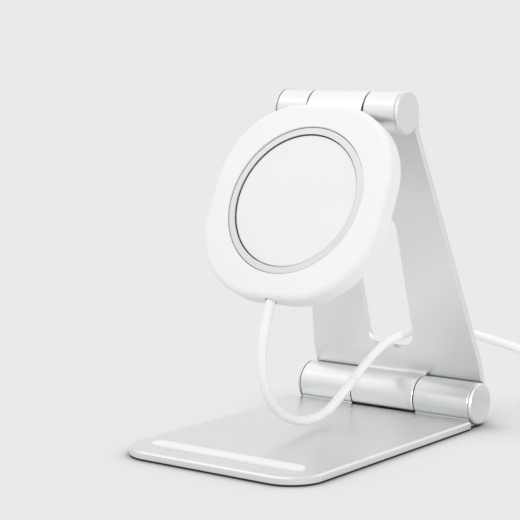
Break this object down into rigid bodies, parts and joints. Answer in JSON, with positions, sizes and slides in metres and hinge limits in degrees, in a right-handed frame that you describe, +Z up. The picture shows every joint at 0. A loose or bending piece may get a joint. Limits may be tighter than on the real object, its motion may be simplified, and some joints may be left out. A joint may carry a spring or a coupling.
{
  "type": "phone charging stand",
  "caption": "Folding aluminium phone stand with a flat base, a hinged arm with a cord window, and a tilting white holder for a round magnetic charging puck on a cord.",
  "frame": {"origin": "on the surface that the stand rests on, under the middle of its width and depth, the free cord not counted", "axes": "+X along both hinge axes to the stand's right, +Y to its back, +Z up"},
  "size_m": [0.1568, 0.1655, 0.1264],
  "materials": {
    "satin_aluminium": "bead blasted, satin",
    "puck_aluminium": "fine satin",
    "white_holder": "matte",
    "white_face": "matte",
    "white_silicone": "matte",
    "grey_pad": "matte",
    "dark_bush": "matte",
    "steel": "bright",
    "magnet_steel": "plated",
    "copper": "enamelled wire",
    "ferrite": "matte",
    "board": "semi-gloss",
    "white_cord": "matte",
    "tie_band": "woven",
    "white_plug": "satin",
    "black_plastic": "matte"
  },
  "bodies": {
    "base": {"base_plate": "satin_aluminium", "base_pad": "grey_pad", "base_top_strip": "white_silicone", "lower_hinge_bushes": "dark_bush", "lower_cap_left": "satin_aluminium", "lower_cap_right": "satin_aluminium", "cord_run": "white_cord", "cord_coil": "white_cord", "cord_tie": "tie_band", "cord_tail": "white_cord", "plug_body": "white_plug", "plug_shell": "steel", "plug_tongue": "black_plastic"},
    "arm": {"arm_plate": "satin_aluminium", "lower_hinge_pin": "steel", "lower_hinge_springs": "steel", "lower_hinge_nut": "steel", "upper_hinge_bushes": "dark_bush", "upper_cap_left": "satin_aluminium", "upper_cap_right": "satin_aluminium"},
    "head": {"head_bracket": "satin_aluminium", "bracket_screws": "steel", "charger_holder": "white_holder", "charger_housing": "puck_aluminium", "charger_face": "white_face", "charger_magnets": "magnet_steel", "charge_coil": "copper", "ferrite_shield": "ferrite", "charger_board": "board", "upper_hinge_pin": "steel", "upper_hinge_springs": "steel", "upper_hinge_nut": "steel", "cord_relief": "white_cord", "cord_loop": "white_cord"}
  },
  "joints": [
    {"name": "arm_fold", "type": "hinge", "parent": "base", "child": "arm", "pos_m": [0, 0.05475, 0.0086], "axis": [1, 0, 0], "range_deg": [-66.8, 12], "deforming": ["cord_loop", "cord_run"]},
    {"name": "head_tilt", "type": "hinge", "parent": "arm", "child": "head", "pos_m": [0, 0.02157, 0.1185], "axis": [1, 0, 0], "range_deg": [-63.7, 43.1], "deforming": ["cord_loop"]}
  ]
}
